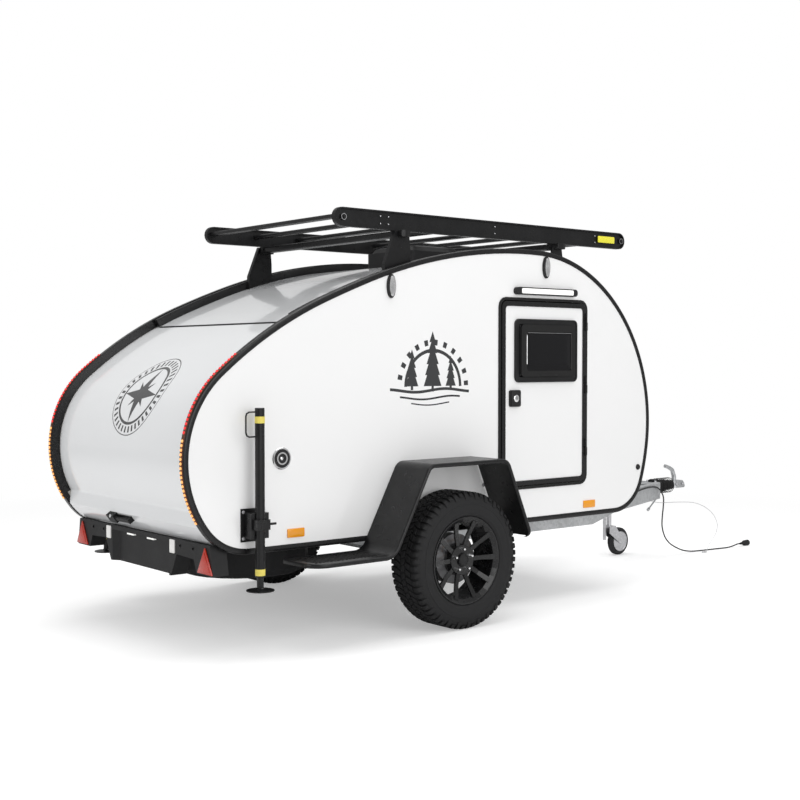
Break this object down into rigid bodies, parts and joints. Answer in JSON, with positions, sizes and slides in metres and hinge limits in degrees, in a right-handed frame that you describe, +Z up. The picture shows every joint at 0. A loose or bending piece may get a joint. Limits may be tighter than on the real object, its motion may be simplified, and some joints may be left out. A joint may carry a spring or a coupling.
{
  "type": "teardrop trailer",
  "caption": "Teardrop camping trailer: rounded cabin with side doors and rear galley hatch, roof rack, mudguards with steps, rear legs, overrun drawbar and jockey wheel.",
  "frame": {"origin": "centre of the overall length and width at the ground plane", "axes": "+X forwards to the coupling, +Y to the trailer's left side, +Z up"},
  "size_m": [5.0938, 1.956, 2.1333],
  "materials": {
    "gelcoat": "glossy white gelcoat",
    "roof_skin": "glossy light grey skin",
    "hatch_skin": "glossy light grey skin",
    "black_trim": "satin black profile",
    "black_rubber": "black seal rubber",
    "black_plastic": "grained black plastic",
    "black_metal": "black powder coat",
    "tinted_acrylic": "dark tinted acrylic",
    "lamp_housing": "white diffuser in a grey body",
    "red_lens": "red lens",
    "plywood": "varnished plywood",
    "underbody": "dark sealed board",
    "black_alloy": "gloss black alloy",
    "cast_drum": "bare grey drum",
    "tyre": "black tyre rubber",
    "rubber": "dark solid rubber",
    "galvanised": "galvanised steel",
    "zinc": "zinc plated steel",
    "cable": "black cable sheath"
  },
  "bodies": {
    "trailer": {"side_panel_left": "gelcoat", "side_panel_right": "gelcoat", "roof_shell": "roof_skin", "edge_trim_left": "black_trim", "edge_trim_right": "black_trim", "door_frame_left": "black_rubber", "door_frame_right": "black_rubber", "coupling_bellows": "black_rubber", "roof_vent": "black_plastic", "rear_bumper": "black_plastic", "cable_plug": "black_plastic", "roof_rail_left": "black_metal", "roof_rail_right": "black_metal", "rack_bar_front": "black_metal", "rack_bar_rear": "black_metal", "rack_tray": "black_metal", "mudguard_left": "black_metal", "mudguard_right": "black_metal", "leg_bracket_left": "black_metal", "leg_bracket_right": "black_metal", "coupling_flange": "black_metal", "awning_light_left": "lamp_housing", "awning_light_right": "lamp_housing", "light_strip_left": "red_lens", "light_strip_right": "red_lens", "bulkhead": "plywood", "floor_pan": "underbody", "spare_tyre": "tyre", "chassis_frame": "galvanised", "axle_beam": "galvanised", "coupling_head": "galvanised", "coupling_handle": "galvanised", "jockey_tube": "galvanised", "spare_rim": "galvanised", "breakaway_hook": "zinc", "electric_cable": "cable", "breakaway_wire": "cable"},
    "wheel_left": {"tyre_left": "tyre", "rim_left": "black_alloy", "brake_drum_left": "cast_drum"},
    "wheel_right": {"tyre_right": "tyre", "rim_right": "black_alloy", "brake_drum_right": "cast_drum"},
    "door_left": {"door_edge_left": "black_trim", "door_panel_left": "gelcoat", "door_window_frame_left": "black_plastic", "door_window_pane_left": "tinted_acrylic", "door_lock_left": "black_plastic"},
    "door_right": {"door_edge_right": "black_trim", "door_panel_right": "gelcoat", "door_window_frame_right": "black_plastic", "door_window_pane_right": "tinted_acrylic", "door_lock_right": "black_plastic"},
    "hatch": {"hatch": "hatch_skin", "hatch_handle": "black_plastic"},
    "jockey_stem": {"jockey_stem": "zinc"},
    "jockey_fork": {"jockey_fork": "zinc"},
    "jockey_wheel": {"jockey_wheel": "rubber"},
    "leg_left": {"leg_left": "black_metal"},
    "leg_right": {"leg_right": "black_metal"}
  },
  "joints": [
    {"name": "wheel_spin_left", "type": "hinge", "parent": "trailer", "child": "wheel_left", "pos_m": [-0.71659, 0.8535, 0.352], "axis": [0, 1, 0], "continuous": true},
    {"name": "wheel_spin_right", "type": "hinge", "parent": "trailer", "child": "wheel_right", "pos_m": [-0.71659, -0.8535, 0.352], "axis": [0, 1, 0], "continuous": true},
    {"name": "door_hinge_left", "type": "hinge", "parent": "trailer", "child": "door_left", "pos_m": [0.41041, 0.7253, 1.18], "axis": [0, 0, -1], "range_deg": [0, 100]},
    {"name": "door_hinge_right", "type": "hinge", "parent": "trailer", "child": "door_right", "pos_m": [0.41041, -0.7253, 1.18], "axis": [0, 0, 1], "range_deg": [0, 100]},
    {"name": "hatch_hinge", "type": "hinge", "parent": "trailer", "child": "hatch", "pos_m": [-1.5954, 0, 1.56065], "axis": [0, 1, 0], "range_deg": [0, 75]},
    {"name": "jockey_slide", "type": "slide", "parent": "trailer", "child": "jockey_stem", "axis": [0, 0, 1], "range_m": [0, 0.15]},
    {"name": "jockey_swivel", "type": "hinge", "parent": "jockey_stem", "child": "jockey_fork", "pos_m": [1.69341, 0.22, 0.2115], "axis": [0, 0, 1], "continuous": true},
    {"name": "jockey_wheel_spin", "type": "hinge", "parent": "jockey_fork", "child": "jockey_wheel", "pos_m": [1.78841, 0.22, 0.096], "axis": [0, 1, 0], "continuous": true},
    {"name": "leg_slide_left", "type": "slide", "parent": "trailer", "child": "leg_left", "axis": [0, 0, -1], "range_m": [0, 0.29]},
    {"name": "leg_slide_right", "type": "slide", "parent": "trailer", "child": "leg_right", "axis": [0, 0, -1], "range_m": [0, 0.29]}
  ]
}
